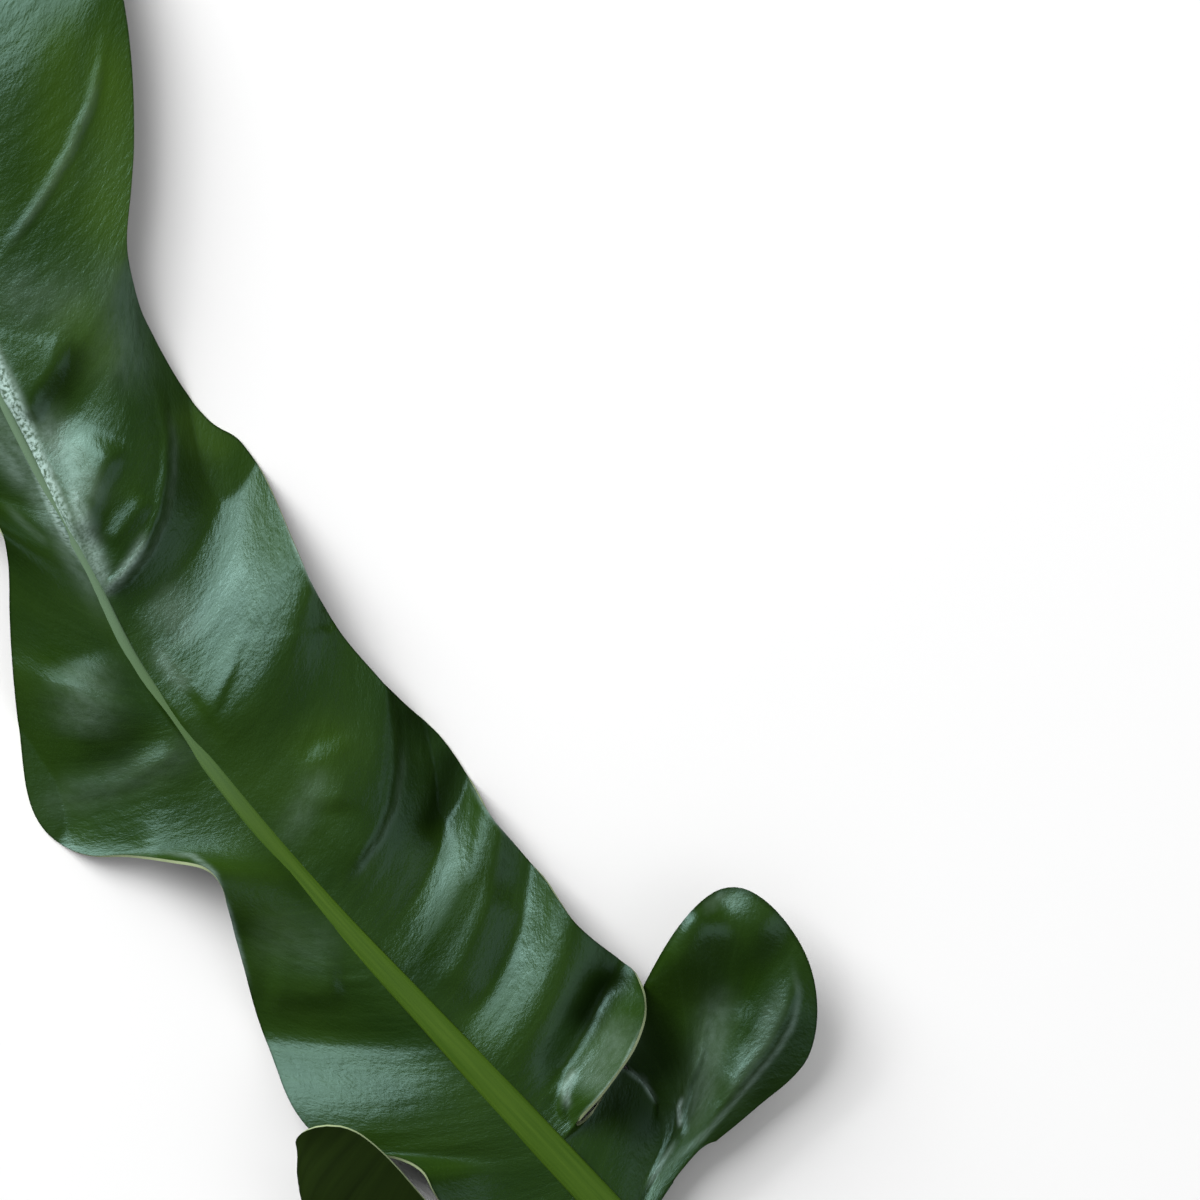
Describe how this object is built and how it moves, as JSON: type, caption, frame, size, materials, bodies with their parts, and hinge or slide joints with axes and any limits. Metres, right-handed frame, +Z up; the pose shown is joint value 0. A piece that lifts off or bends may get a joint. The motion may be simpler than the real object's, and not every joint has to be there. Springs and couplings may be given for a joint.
{
  "type": "philodendron leaf",
  "caption": "Long strap-like glossy green leaf with strongly waved margins, a pale midrib, two curled basal lobes and a short cut stalk, lying flat.",
  "frame": {"origin": "centre of the leaf's bounding box in plan, on the surface it lies on", "axes": "+X from the stalk joint to the tip of the blade, +Y to the leaf's left as seen from above, +Z up"},
  "size_m": [0.611, 0.2055, 0.0322],
  "materials": {
    "leaf": "semi-gloss living leaf, dark green above with a light green midrib"
  },
  "bodies": {
    "root": {"leaf": "leaf"}
  },
  "joints": []
}
